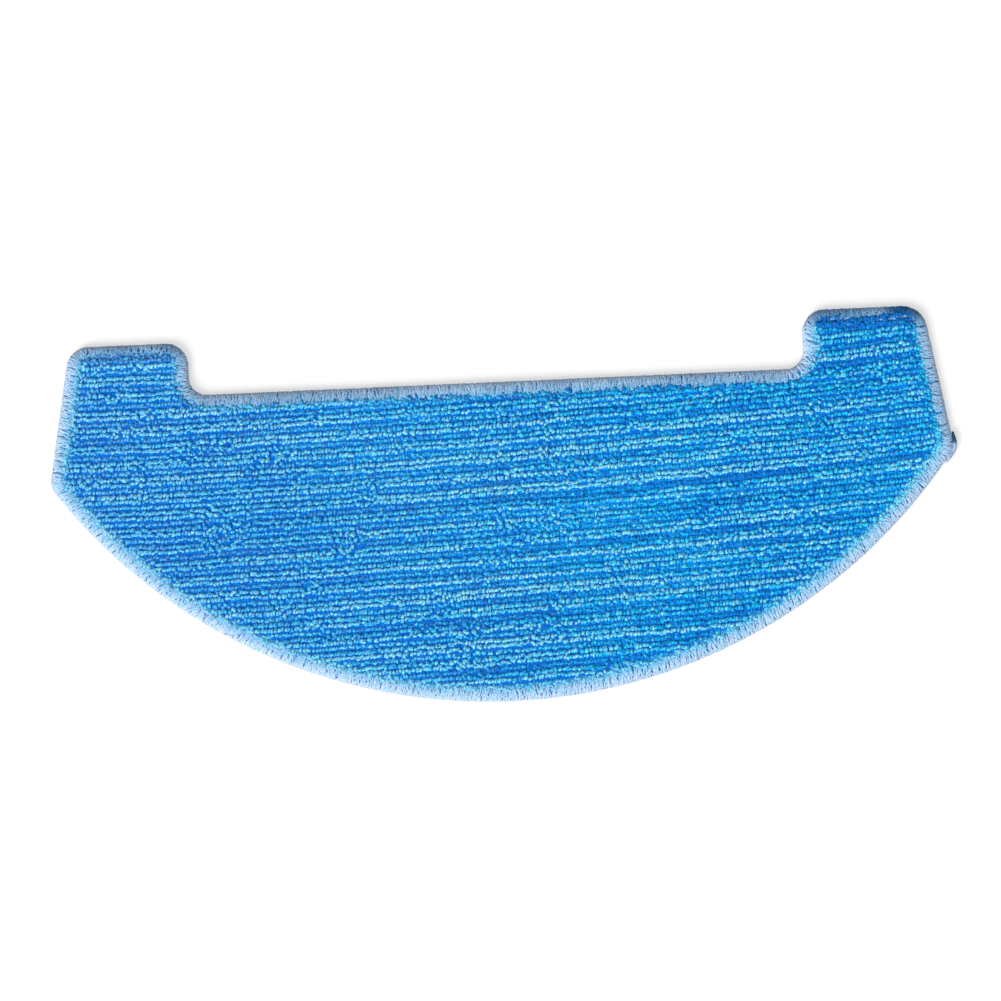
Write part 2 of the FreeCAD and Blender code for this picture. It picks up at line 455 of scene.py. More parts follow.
def lifted(pad, points):
    """Points, with the soft waves of the lying cloth added to their heights."""
    x, y = points[..., 0] / pad.cloth.wave_length, points[..., 1] / pad.cloth.wave_length
    wave = (1 + 0.7 * drift(x + 20, y + 20, 3) + 0.3 * drift(x * 2 + 40, y * 2 + 40, 4)) / 2
    raised = points.copy()
    raised[..., 2] += wave * pad.cloth.wave_height
    return raised


def seam_pull(pad, x, y, inward):
    """How tightly the seam is pulled, from 0 to 1: it draws the pile in over the ears' rear edges."""
    outline = pad.outline
    ear_top = cad_high.y - max(outline.left_ear, outline.right_ear) / 2
    return np.clip((y - ear_top) / (4 * MM), 0, 1) * np.clip(-inward[..., 1], 0, 1)


def terry_top(pad, depth):
    """Height of the terry's ground at a depth inside the rim.

    The seam draws its hem up into a roll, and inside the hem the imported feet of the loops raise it.
    """
    cloth = pad.cloth
    across_hem = np.clip((depth - cloth.cut_inset) / (cloth.hem - cloth.cut_inset), 0, 1)
    packed = np.clip(1 - (cloth.hem - depth) / HEM_BLEND, 0, 1)
    return ground_top + np.maximum(cloth.hem_puff * np.sin(np.pi * across_hem), cloth.pile_bed * packed)


def add_piece(name, mesh, material, replaces):
    """An object that rides on the pad and stands for the CAD nodes that it replaces."""
    mesh.materials.append(material)
    piece = bpy.data.objects.new(name, mesh)
    bpy.context.scene.collection.objects.link(piece)
    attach(piece, "root")
    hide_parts(*replaces)


def flat_map(mesh, name):
    """A map of the mesh as seen from above, for surfaces made of thousands of small parts."""
    places = np.empty(len(mesh.vertices) * 3)
    mesh.vertices.foreach_get("co", places)
    places = places.reshape(-1, 3)[:, :2]
    corners = np.empty(len(mesh.loops), int)
    mesh.loops.foreach_get("vertex_index", corners)
    low, high = places.min(0), places.max(0)
    layer = mesh.uv_layers.new(name=name)
    layer.data.foreach_set("uv", ((places - low) / (high - low).max())[corners].ravel())


def yarn_piece(name, paths, across, radii, sides, tone, cast, material, replaces):
    """Many closed lengths of yarn in one mesh.

    paths holds each yarn's centre line, across a direction that the yarn's bends turn about, and
    radii its half thickness at each point. tone and cast are read by the material, with one value a
    yarn or one at each of its points.
    """
    yarns, rings = paths.shape[:2]
    along = np.gradient(paths, axis=1)
    along /= np.linalg.norm(along, axis=-1, keepdims=True)
    side = across[:, None] - (across[:, None] * along).sum(-1, keepdims=True) * along
    side /= np.linalg.norm(side, axis=-1, keepdims=True)
    up = np.cross(side, along)
    turn = 2 * np.pi * np.arange(sides) / sides
    reach = radii[:, :, None, None]
    points = (
        paths[:, :, None]
        + side[:, :, None] * np.cos(turn)[:, None] * reach
        + up[:, :, None] * np.sin(turn)[:, None] * reach)
    ring = np.arange(sides)
    step = np.arange(rings - 1)[:, None] * sides
    near, near_next = step + ring, step + (ring + 1) % sides
    quads = np.stack([near, near_next, near_next + sides, near + sides], axis=-1).reshape(-1, 4)
    first = np.arange(yarns) * rings * sides
    walls = (first[:, None, None] + quads).reshape(-1, 4)
    start_caps = first[:, None] + ring[::-1]
    end_caps = first[:, None] + (rings - 1) * sides + ring
    caps = np.concatenate([start_caps, end_caps])
    sizes = np.concatenate([np.full(len(walls), 4), np.full(len(caps), sides)])
    corners = np.concatenate([walls.ravel(), caps.ravel()])

    mesh = bpy.data.meshes.new(name)
    mesh.vertices.add(points.size // 3)
    mesh.vertices.foreach_set("co", points.ravel())
    mesh.loops.add(len(corners))
    mesh.loops.foreach_set("vertex_index", corners)
    mesh.polygons.add(len(sizes))
    mesh.polygons.foreach_set("loop_start", np.concatenate([[0], np.cumsum(sizes)[:-1]]))
    mesh.polygons.foreach_set("use_smooth", np.ones(len(sizes), bool))
    mesh.update()
    for label, values in (("tone", tone), ("cast", cast)):
        attribute = mesh.attributes.new(label, "FLOAT", "POINT")
        attribute.data.foreach_set("value", np.repeat(values, len(mesh.vertices) // values.size))

    run = np.concatenate([
        np.zeros((yarns, 1)), np.linalg.norm(np.diff(paths, axis=1), axis=-1).cumsum(1)], axis=1)
    run = run + np.arange(yarns)[:, None] * YARN_OFFSET
    around = ring * 2 * np.pi * radii.mean() / sides
    lengthwise = np.broadcast_to(run[:, :, None], (yarns, rings, sides)).ravel()
    crosswise = np.broadcast_to(around, (yarns, rings, sides)).ravel()
    fibre_map = mesh.uv_layers.new(name="fibres")
    fibre_map.data.foreach_set("uv", np.stack([lengthwise, crosswise], axis=-1)[corners].ravel())
    flat_map(mesh, "OFBake")
    add_piece(name, mesh, material, replaces)


def cloth_sheet(pad, name, rings, top, bottom, material, replaces):
    """One layer of cloth over the whole outline, as a closed sheet between two heights.

    rings are the insets of its outer strips. top and bottom give the heights at a depth inside the rim.
    """
    rim = Rim(pad.outline)
    count = round(rim.length / EDGE_STEP)
    stations = np.arange(count) * rim.length / count
    sheet = bmesh.new()
    strips = []
    for inset in rings:
        points, inward = rim.walk(stations, np.full(count, inset))
        strips.append([sheet.verts.new((x, y, 0)) for x, y in points])
    for outer, inner in zip(strips, strips[1:]):
        for i in range(count):
            after = (i + 1) % count
            sheet.faces.new((outer[i], outer[after], inner[after], inner[i]))
    field = [sheet.faces.new(strips[-1])]
    span = cad_high - cad_low
    for axis, start, reach in ((0, cad_low.x, span.x), (1, cad_low.y, span.y)):
        for k in range(1, round(reach / pad.cloth.cell)):
            place, normal = [0, 0, 0], [0, 0, 0]
            place[axis], normal[axis] = start + k * pad.cloth.cell, 1
            fields = [f for f in field if f.is_valid]
            parts = fields + [e for f in fields for e in f.edges] + [v for f in fields for v in f.verts]
            cut = bmesh.ops.bisect_plane(
                sheet, geom=list(dict.fromkeys(parts)), plane_co=place, plane_no=normal, dist=1e-7)
            field = [g for g in cut["geom"] if isinstance(g, bmesh.types.BMFace) and g.is_valid]
    bmesh.ops.triangulate(sheet, faces=[f for f in field if f.is_valid and len(f.verts) > 4])
    sheet.verts.index_update()
    flat = np.array([v.co for v in sheet.verts])
    faces = [[v.index for v in f.verts] for f in sheet.faces]
    border = [v.index for v in strips[0]]
    sheet.free()
    depth, inward = rim.depth(flat[:, :2])
    upper, lower = flat.copy(), flat.copy()
    upper[:, 2], lower[:, 2] = top(depth), bottom(depth)
    total = len(flat)
    points = lifted(pad, np.concatenate([upper, lower]))
    all_faces = faces + [[i + total for i in reversed(f)] for f in faces]
    for i, first in enumerate(border):
        second = border[(i + 1) % len(border)]
        all_faces.append([first, first + total, second + total, second])
    mesh = bpy.data.meshes.new(name)
    mesh.from_pydata(points.tolist(), [], all_faces)
    mesh.validate()
    mesh.polygons.foreach_set("use_smooth", np.ones(len(mesh.polygons), bool))
    # The hem's colour covers the squeezed hem, its own thread fluff, and reaches HEM_STEP further in, where it
    # lightens the shaded groove at the foot of the seam: painted light there.
    squeezed = np.clip((pad.cloth.hem + HEM_STEP - np.concatenate([depth, depth])) / HEM_BLEND, 0, 1)
    mesh.attributes.new("hem", "FLOAT", "POINT").data.foreach_set("value", squeezed)
    add_piece(name, mesh, material, replaces)


def level(height):
    """The same height at every depth inside the rim."""
    return lambda depth: np.full(len(depth), height)


class Nodes:
    """A material's node tree, built in reading order."""

    def __init__(self, name):
        self.material = bpy.data.materials.new(name)
        self.material.use_nodes = True
        self.tree = self.material.node_tree
        self.shader = self.tree.nodes["Principled BSDF"]
        self.output = self.tree.nodes["Material Output"]

    def add(self, kind, inputs=None, **settings):
        node = self.tree.nodes.new(kind)
        for key, value in settings.items():
            setattr(node, key, value)
        for key, value in (inputs or {}).items():
            if isinstance(value, bpy.types.NodeSocket):
                self.tree.links.new(value, node.inputs[key])
            else:
                node.inputs[key].default_value = value
        return node

    def ramp(self, value, stops):
        node = self.add("ShaderNodeValToRGB", {"Fac": value})
        ramp = node.color_ramp
        while len(ramp.elements) < len(stops):
            ramp.elements.new(0.5)
        for element, (place, colour) in zip(ramp.elements, stops):
            element.position = place
            element.color = tuple(colour)[:3] + (1,)
        return node.outputs["Color"]

    def mix(self, blend, amount, first, second):
        node = self.add("ShaderNodeMix", data_type="RGBA", blend_type=blend)
        for index, value in ((0, amount), (6, first), (7, second)):
            if isinstance(value, bpy.types.NodeSocket):
                self.tree.links.new(value, node.inputs[index])
            else:
                node.inputs[index].default_value = value if index == 0 else tuple(value)[:3] + (1,)
        return node.outputs[2]

    def finish(self, colour, roughness, sheen, height=None, bump=0.0, distance=0.0001):
        """The shader: colour and relief from the nodes, sheen and gloss the same all over."""
        self.tree.links.new(colour, self.shader.inputs["Base Color"])
        self.shader.inputs["Roughness"].default_value = roughness
        self.shader.inputs["Specular IOR Level"].default_value = 0.12
        self.shader.inputs["Sheen Weight"].default_value = sheen
        self.shader.inputs["Sheen Roughness"].default_value = 0.5
        if height is not None:
            relief = self.add("ShaderNodeBump", {"Height": height, "Strength": bump, "Distance": distance})
            self.tree.links.new(relief.outputs["Normal"], self.shader.inputs["Normal"])
        return self.material


def yarn_material(name, deep, middle, pale, cast_colour, cast_share, crease_shade, fibre, sheen):
    """Spun yarn: its tone changes from yarn to yarn, and fine fibres twist round it.

    The tint of the small creases between its tufts of fibre is painted shade, and so is the darkening between
    its fibres, whose share is fibre.
    """
    nodes = Nodes(name)
    tone = nodes.add("ShaderNodeAttribute", attribute_name="tone").outputs["Fac"]
    cast = nodes.add("ShaderNodeAttribute", attribute_name="cast").outputs["Fac"]
    ramp = nodes.ramp(tone, [(0.0, deep), (0.5, middle), (1.0, pale)])
    share = nodes.add(
        "ShaderNodeMath", {0: cast, 1: cast_share}, operation="MULTIPLY", use_clamp=True).outputs[0]
    dyed = nodes.mix("MIX", share, ramp, cast_colour)
    fibre_map = nodes.add("ShaderNodeUVMap", uv_map="fibres").outputs[0]
    twisted = nodes.add(
        "ShaderNodeMapping",
        {"Vector": fibre_map, "Rotation": (0, 0, math.radians(28)), "Scale": (2500, 14000, 1)}).outputs[0]
    strands = nodes.add(
        "ShaderNodeTexNoise", {"Vector": twisted, "Scale": 1.0, "Detail": 3.0, "Roughness": 0.6}).outputs[0]
    # Painted shade between the fibres, darker by the share fibre.
    painted_fibre_shade = nodes.ramp(strands, [(0.3, (1 - fibre,) * 3), (0.62, (1, 1, 1))])
    tufts = nodes.add("ShaderNodeMapping", {"Vector": fibre_map, "Scale": (1900, 2600, 1)}).outputs[0]
    crease = nodes.add(
        "ShaderNodeTexNoise", {"Vector": tufts, "Scale": 1.0, "Detail": 2.0, "Roughness": 0.5}).outputs[0]
    # Painted shade in the creases between the tufts.
    painted_crease_shade = nodes.ramp(crease, [(0.42, crease_shade), (0.49, (1, 1, 1))])
    colour = nodes.mix("MULTIPLY", 1.0, nodes.mix("MULTIPLY", 1.0, dyed, painted_fibre_shade), painted_crease_shade)
    return nodes.finish(colour, 0.85, sheen, strands, bump=0.6, distance=0.00018)


def knit_material(name, colour, hem_colour, valley_shade, stitch, sheen, nap):
    """A fine knit: courses of stitches a fraction of a millimetre apart under a short brushed nap.

    Its hem takes the colour of the thread fluff that is worked into it.
    """
    nodes = Nodes(name)
    place = nodes.add("ShaderNodeNewGeometry").outputs["Position"]
    grid = nodes.add("ShaderNodeMapping", {"Vector": place, "Scale": (1 / stitch,) * 3}).outputs[0]
    loops = nodes.add(
        "ShaderNodeTexVoronoi", {"Vector": grid, "Scale": 1.0, "Randomness": 0.35}, feature="F1").outputs[0]
    fluff = nodes.add(
        "ShaderNodeTexNoise", {"Vector": place, "Scale": 2600.0, "Detail": 5.0, "Roughness": 0.7}).outputs[0]
    patches = nodes.add(
        "ShaderNodeTexNoise", {"Vector": place, "Scale": 90.0, "Detail": 3.0, "Roughness": 0.6}).outputs[0]
    relief = nodes.mix("MIX", nap, loops, fluff)
    hem = nodes.add("ShaderNodeAttribute", attribute_name="hem").outputs["Fac"]
    body = nodes.mix("MIX", patches, colour, tuple(c * 0.86 for c in colour))
    body = nodes.mix("MIX", hem, body, hem_colour)
    # Painted shade in the valleys between the stitches and the tufts of nap.
    shaded = nodes.ramp(relief, [(0.40, (1, 1, 1)), (0.54, valley_shade)])
    return nodes.finish(nodes.mix("MULTIPLY", 1.0, body, shaded), 0.9, sheen, relief, bump=0.5, distance=0.0002)


class MOPPAD_OT_studio(bpy.types.Operator):
    """Set up the camera over the pad, the soft light from the lower left and the white floor"""

    bl_idname = "mop_pad.studio"
    bl_label = "Studio"

    def execute(self, context):
        studio = context.scene.mop_pad.studio
        camera = bpy.data.objects.new("camera", bpy.data.cameras.new("camera"))
        context.scene.collection.objects.link(camera)
        context.scene.camera = camera
        camera.data.lens = studio.lens
        distance = studio.view_width * studio.lens / camera.data.sensor_width
        camera.location = (studio.aim_x, studio.aim_y, distance + seam_top)
        camera.rotation_euler = (0, 0, studio.roll)

        key = bpy.data.objects.new("key_light", bpy.data.lights.new("key_light", "SUN"))
        context.scene.collection.objects.link(key)
        key.data.energy = studio.key_strength
        key.data.angle = studio.key_softness
        flat = math.cos(studio.key_height)
        towards = Vector((
            flat * math.cos(studio.key_bearing), flat * math.sin(studio.key_bearing),
            math.sin(studio.key_height)))
        key.rotation_euler = towards.to_track_quat("Z", "Y").to_euler()

        world = bpy.data.worlds.new("studio_sky")
        context.scene.world = world
        world.use_nodes = True
        tree = world.node_tree
        sky, output = tree.nodes["Background"], tree.nodes["World Output"]
        sky.inputs["Color"].default_value = (1, 1, 1, 1)
        sky.inputs["Strength"].default_value = studio.sky_strength
        white = tree.nodes.new("ShaderNodeBackground")
        path = tree.nodes.new("ShaderNodeLightPath")
        pick = tree.nodes.new("ShaderNodeMixShader")
        tree.links.new(path.outputs["Is Camera Ray"], pick.inputs["Fac"])
        tree.links.new(sky.outputs[0], pick.inputs[1])
        tree.links.new(white.outputs[0], pick.inputs[2])
        tree.links.new(pick.outputs[0], output.inputs["Surface"])
        white.inputs["Color"].default_value = (1, 1, 1, 1)

        half = studio.floor_size / 2
        mesh = bpy.data.meshes.new("floor")
        corners = [(-half, -half, 0), (half, -half, 0), (half, half, 0), (-half, half, 0)]
        mesh.from_pydata(corners, [], [(0, 1, 2, 3)])
        floor = bpy.data.objects.new("floor", mesh)
        context.scene.collection.objects.link(floor)
        nodes = Nodes("floor_paper")
        nodes.shader.inputs["Base Color"].default_value = (studio.floor_white,) * 3 + (1,)
        nodes.shader.inputs["Roughness"].default_value = 1.0
        nodes.shader.inputs["Specular IOR Level"].default_value = 0.0
        nodes.shader.inputs["Emission Color"].default_value = (1, 1, 1, 1)
        seen = nodes.add("ShaderNodeLightPath").outputs["Is Camera Ray"]
        glow = nodes.add("ShaderNodeMath", {0: seen, 1: studio.floor_glow}, operation="MULTIPLY").outputs[0]
        nodes.tree.links.new(glow, nodes.shader.inputs["Emission Strength"])
        mesh.materials.append(nodes.material)
        context.scene.view_settings.view_transform = "Standard"
        return {"FINISHED"}


class MOPPAD_OT_terry_ground(bpy.types.Operator):
    """Make the knitted ground that carries the loops and runs out under the seam"""

    bl_idname = "mop_pad.terry_ground"
    bl_label = "Terry ground"

    def execute(self, context):
        pad = context.scene.mop_pad
        cloth = pad.cloth
        material = knit_material(
            "terry_knit", tuple(pad.colours.ground), tuple(pad.colours.hem), (0.05, 0.36, 0.64), 0.85 * MM,
            sheen=0.1, nap=0.5)
        rings = [*np.linspace(cloth.cut_inset, cloth.hem, 8), cloth.hem + HEM_STEP]
        cloth_sheet(
            pad, "terry_ground", rings, lambda depth: terry_top(pad, depth), level(backing_top),
            material, ["wiping_cloth"])
        return {"FINISHED"}


class MOPPAD_OT_backing(bpy.types.Operator):
    """Make the brushed loop cloth that grips the mop plate"""

    bl_idname = "mop_pad.backing"
    bl_label = "Backing"

    def execute(self, context):
        pad = context.scene.mop_pad
        cloth = pad.cloth
        material = knit_material(
            "brushed_backing", tuple(pad.colours.backing), tuple(pad.colours.hem), (0.78, 0.83, 0.89), 1.1 * MM,
            sheen=0.3, nap=0.65)

        def underside(depth):
            squeezed = np.clip((cloth.hem - depth) / HEM_STEP, 0, 1)
            return squeezed * hem_height

        rings = [cloth.cut_inset, pad.seam.width, cloth.hem - HEM_STEP, cloth.hem, cloth.hem + HEM_STEP]
        cloth_sheet(
            pad, "backing_sheet", rings, level(backing_top), underside,
            material, ["backing_cloth"])
        return {"FINISHED"}


class Loops:
    """The pile's loops: their places, rows and disorder, and how far and which way inside the rim they lie."""

    def __init__(self, x, y, row, messy, depth, inward):
        self.x, self.y, self.row, self.messy, self.depth, self.inward = x, y, row, messy, depth, inward

    def __len__(self):
        return len(self.x)

    def values(self):
        return self.x, self.y, self.row, self.messy, self.depth, self.inward

    def picked(self, chosen):
        return Loops(*(value[chosen] for value in self.values()))

    def joined(self, others):
        return Loops(*(np.concatenate(pair) for pair in zip(self.values(), others.values())))

    def in_repeat(self, place):
        """Which loops stand in one row of the knit's repeat of three."""
        return self.row % 3 == place

    def near_seam(self, inset, reach):
        """1 for loops at an inset from the rim, falling to 0 a reach further in."""
        return np.clip(1 - (self.depth - inset) / reach, 0, 1)


class MOPPAD_OT_pile(bpy.types.Operator):
    """Make the rows of yarn loops, in bands from the front to the rear"""

    bl_idname = "mop_pad.pile"
    bl_label = "Pile"

    def execute(self, context):
        pad = context.scene.mop_pad
        colours = pad.colours
        rim = Rim(pad.outline)
        rng = np.random.default_rng(pad.pile.seed)
        loops = self.knitted(pad, rim, rng)
        loops = loops.joined(self.caught(pad, rim, rng, loops))
        paths, sideways, radii = self.bent(pad, rng, loops)
        tone, cast = self.dyed(pad, rng, loops, paths.shape[1])
        material = yarn_material(
            "pile_yarn", colours.pile_deep, colours.pile_blue, colours.pile_pale, colours.pile_painted_light,
            0.45, crease_shade=(0.03, 0.32, 0.62), fibre=0.1, sheen=0.08)
        order = np.argsort(loops.y)
        for band, members in enumerate(np.array_split(order, pad.pile.bands), 1):
            yarn_piece(
                f"pile_loops_{band}", paths[members], sideways[members], radii[members], 5,
                np.clip(tone[members], 0, 1), cast[members], material, ["wiping_cloth"])
        return {"FINISHED"}

    def knitted(self, pad, rim, rng):
        """Loops in fanned and wandering rows, trimmed to the seam."""
        sizes = pad.pile
        half_width = pad.outline.width / 2
        reach_x, reach_y = cad_high.x + 5 * MM, cad_high.y + 12 * MM
        rows = np.arange(-math.ceil(reach_y / sizes.row_pitch), math.ceil(reach_y / sizes.row_pitch) + 1)
        steps = np.arange(-math.ceil(reach_x / sizes.loop_pitch), math.ceil(reach_x / sizes.loop_pitch) + 1)
        row, step = (grid.ravel() for grid in np.meshgrid(rows, steps, indexing="ij"))
        shift = rng.uniform(0, 1, len(rows))[row - rows[0]]
        x = (step + shift + rng.normal(0, 0.14, len(row))) * sizes.loop_pitch
        aside = x / half_width
        fan = half_width * math.tan(sizes.row_fan) * (FAN_EVEN / 2 * aside ** 2 + FAN_OUTER / 4 * aside ** 4)
        y = (row + 0.5) * sizes.row_pitch + x * math.tan(sizes.row_skew) + fan
        wander = (
            drift(x / (26 * MM) + 9, y / (14 * MM) + 9, 21)
            + 0.5 * drift(x / (9 * MM) + 9, y / (6 * MM) + 9, 22))
        y = y + wander * sizes.row_wander + rng.normal(0, 0.07, len(row)) * sizes.row_pitch

        rough = drift(x / (7 * MM) + 30, y / (5 * MM) + 30, 23) * 0.5 + 0.5
        messy = np.clip((rough - (1 - sizes.disorder)) / 0.25, 0, 1)
        x = x + messy * rng.normal(0, 0.25, len(row)) * sizes.loop_pitch
        y = y + messy * rng.normal(0, 0.22, len(row)) * sizes.row_pitch

        depth, inward = rim.depth(np.stack([x, y], axis=-1))
        nearest_loop = sizes.inset - PILE_PULL * seam_pull(pad, x, y, inward)
        kept = depth > nearest_loop + rng.uniform(-0.2, 0.45, len(row)) * MM
        return Loops(x, y, row, messy, depth, inward).picked(kept)

    def caught(self, pad, rim, rng, loops):
        """Loops of cut rows that the needle line has caught, where the rows leave a gap at the seam."""
        inset = pad.pile.inset
        count = round(1.7 * rim.length / pad.pile.loop_pitch)
        travel = (np.arange(count) + rng.uniform(-0.2, 0.2, count)) * rim.length / count
        depth = inset + rng.uniform(-0.2, 0.2, count) * MM
        places, inward = rim.walk(travel, depth)
        near = loops.depth < inset + 4 * MM
        neighbours = np.stack([loops.x[near], loops.y[near]], axis=-1)
        deeper = rng.random(count) < 0.5
        places = places + inward * deeper[:, None] * 0.8 * MM
        gap = np.array([((neighbours - place) ** 2).sum(-1).min() for place in places]) ** 0.5
        free = gap > LEAST_GAP
        found = len(places[free])
        return Loops(
            places[free, 0], places[free, 1], rng.integers(0, 3, found) + CAUGHT_ROW, np.ones(found),
            depth[free], inward[free])

    def bent(self, pad, rng, loops):
        """Each loop's centre line, the direction that its bend turns about and its yarn's half thickness.

        Where the pile is smooth, its loops lie along their row. Elsewhere they stand turned out of it.
        """
        sizes = pad.pile
        x, row, count = loops.x, loops.row, len(loops)
        aside = x / (pad.outline.width / 2)
        slope = np.arctan(
            math.tan(sizes.row_skew) + math.tan(sizes.row_fan) * (FAN_EVEN * aside + FAN_OUTER * aside ** 3))
        smoothness = np.clip(drift(x / (15 * MM) + 50, row * 0.73 + 50, 24) * 1.4 - 0.2, 0, 1)
        lay = sizes.loop_turn + 0.6 * drift(x / (9 * MM) + 60, row * 0.5 + 60, 28)
        turn = slope + lay * (1 - 0.7 * smoothness) + rng.normal(0, 0.25, count)
        turn = turn + loops.messy * rng.uniform(-1.2, 1.2, count)
        heading = np.stack([np.cos(turn), np.sin(turn), np.zeros(count)], axis=-1)
        sideways = np.stack([-np.sin(turn), np.cos(turn), np.zeros(count)], axis=-1)

        width = sizes.loop_width * (1 + 0.5 * smoothness + rng.normal(0, 0.12, count))
        radius = sizes.yarn_radius * (1 + rng.normal(0, 0.13, count) - 0.06 * smoothness)
        foot = ground_top + pad.cloth.pile_bed - FOOT_DEPTH
        height = (pile_top - foot) * (1 - 0.11 * rng.random(count) - 0.07 * smoothness) - radius
        height = height - loops.in_repeat(LOW_ROW) * sizes.low_row_drop
        height = height * (1 - 0.22 * loops.near_seam(sizes.inset, SEAM_FADE))

        lean_along = rng.normal(0, 0.14, count) * MM + 0.35 * MM * smoothness
        lean_across = (
            rng.normal(0, 0.16, count) + 0.2 * drift(x / (12 * MM) + 70, row * 0.31 + 70, 25)
            + 0.16 * loops.in_repeat(FRONT_ROW) - 0.16 * loops.in_repeat(REAR_ROW)) * MM
        lean_out = loops.near_seam(sizes.inset, 1.2 * MM) * rng.uniform(0.2, 0.9, count) * MM
        lean = (
            heading * lean_along[:, None] + sideways * lean_across[:, None]
            - np.pad(loops.inward, ((0, 0), (0, 1))) * lean_out[:, None])

        bend = np.radians([0, 52, 90, 128, 180])
        out, rise = -np.cos(bend), np.sin(bend) ** 0.75
        centre = np.stack([x, loops.y, np.full(count, foot)], axis=-1)
        spread = out[None, :, None] * (width / 2)[:, None, None] * (0.75 + 0.35 * rise[:, None])
        paths = centre[:, None] + heading[:, None] * spread + lean[:, None] * (rise ** 1.5)[None, :, None]
        paths[:, :, 2] += rise * height[:, None]
        swell = 1 + rng.normal(0, 0.12, (count, len(bend)))
        drawn_feet = np.array([0.7, 1.0, 1.0, 1.0, 0.7])
        return lifted(pad, paths), sideways, radius[:, None] * swell * drawn_feet

    def dyed(self, pad, rng, loops, rings):
        """Each loop's tone at its points, from deep to pale, and its share of the lavender cast, which is
        painted light.

        Two rows painted paler as lit and a low one painted deeper as shaded repeat, and tones drift along each
        row as streaks. At the seam the pile is painted paler and lavender where its edge faces the lamp, to the
        front and left, and deeper where it faces away; the rows that the seam draws in over the ears are
        painted deep as shade.
        The lavender cast towards the left side is painted sheen.
        """
        x, row, count = loops.x, loops.row, len(loops)
        inset = pad.pile.inset
        streak = (
            0.8 * drift(x / (75 * MM) + 80, row + 80, 26) + 0.35 * drift(x / (18 * MM) + 90, row + 90, 27)
            + 0.3 * drift(x / (5 * MM) + 95, row + 95, 29))
        # The row offsets are painted light and shade: the two full rows paler as lit, the low row deeper as
        # shaded.
        tone = (
            0.53 + 0.19 * loops.in_repeat(FRONT_ROW) + 0.1 * loops.in_repeat(REAR_ROW)
            - 0.2 * loops.in_repeat(LOW_ROW) + 0.38 * streak)
        fade = loops.near_seam(inset, SEAM_FADE)
        # Along the seam the pile is painted a little paler all round, paler and lavender where the edge faces
        # the lamp at the lower left, and deeper where it faces away: painted light and shade.
        lamp_facing = loops.inward @ unit(np.array([0.6, 1.0]))
        # Painted shade: the rows that the seam draws in over the ears' rear edges are deepened.
        ear_seam_shade = seam_pull(pad, x, loops.y, loops.inward) * loops.near_seam(inset, 3.5 * MM)
        tone = tone + (0.1 + 0.5 * lamp_facing) * fade - 0.8 * ear_seam_shade + rng.normal(0, 0.1, count)
        tone = tone[:, None] + rng.normal(0, 0.2, (count, rings))
        # Painted sheen: a lavender cast grows towards the left, the lamp's side.
        aside = x / (pad.outline.width / 2)
        cast = np.clip(0.2 - 0.8 * aside, 0, 1) * (0.75 + 0.5 * rng.random(count))
        return tone, np.maximum(cast, 0.9 * fade * np.clip(lamp_facing, 0, 1))


